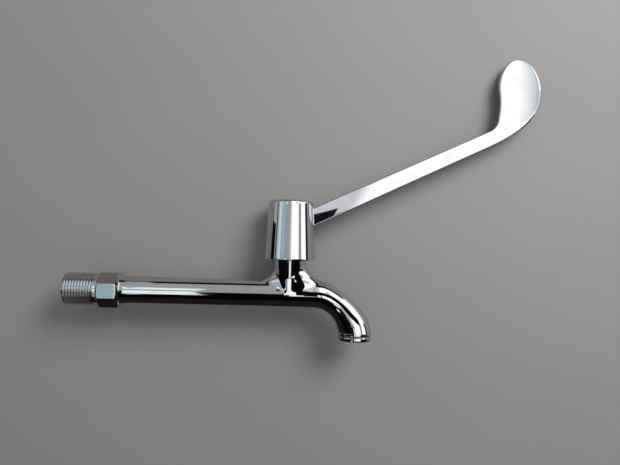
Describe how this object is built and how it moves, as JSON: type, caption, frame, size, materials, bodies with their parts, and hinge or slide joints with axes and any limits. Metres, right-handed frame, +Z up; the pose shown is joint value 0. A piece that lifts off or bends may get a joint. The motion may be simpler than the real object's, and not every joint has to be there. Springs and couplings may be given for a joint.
{
  "type": "elbow lever tap",
  "caption": "Long-body chrome wall tap with a male pipe-thread inlet, a downturned spout and a long paddle-ended elbow lever that turns a quarter turn on its spindle.",
  "frame": {"origin": "centre of the inlet's end face, on the barrel's axis", "axes": "+X along the barrel from the inlet towards the spout, +Z up along the spindle, +Y to the left of the lever as seen from behind the inlet"},
  "size_m": [0.3034, 0.0334, 0.1825],
  "materials": {
    "chrome_plated_casting": "polished chrome plate on cast brass",
    "chrome_plated_collar": "polished chrome plate on turned brass",
    "chrome_plated_hub": "polished chrome plate on cast zinc",
    "polished_chrome_arm": "chrome plate, buffed with a faint grain along the arm",
    "chrome_plated_cap": "chrome-plated plastic",
    "turned_brass": "turned",
    "white_ceramic": "lapped alumina ceramic",
    "black_rubber": "moulded",
    "white_nylon": "moulded",
    "spring_steel": "stamped spring steel",
    "stainless_steel": "stainless steel"
  },
  "bodies": {
    "tap": {"tap_body": "chrome_plated_casting", "outlet_collar": "chrome_plated_collar", "flow_straightener": "white_nylon", "outlet_washer": "black_rubber", "headwork_body": "turned_brass", "headwork_seal": "black_rubber", "seat_seal": "black_rubber", "seal_support_ring": "white_nylon", "fixed_disc": "white_ceramic"},
    "lever": {"moving_disc": "white_ceramic", "spindle": "turned_brass", "thrust_washer": "white_nylon", "lower_spindle_seal": "black_rubber", "upper_spindle_seal": "black_rubber", "retaining_clip": "spring_steel", "splined_bush": "white_nylon", "lever_hub": "chrome_plated_hub", "lever_arm": "polished_chrome_arm", "handle_screw": "stainless_steel", "screw_washer": "stainless_steel", "screw_cap": "chrome_plated_cap"}
  },
  "joints": [
    {"name": "lever_turn", "type": "hinge", "parent": "tap", "child": "lever", "pos_m": [0.144, 0, 0.0425], "axis": [0, 0, 1], "range_deg": [-90, 0]}
  ]
}
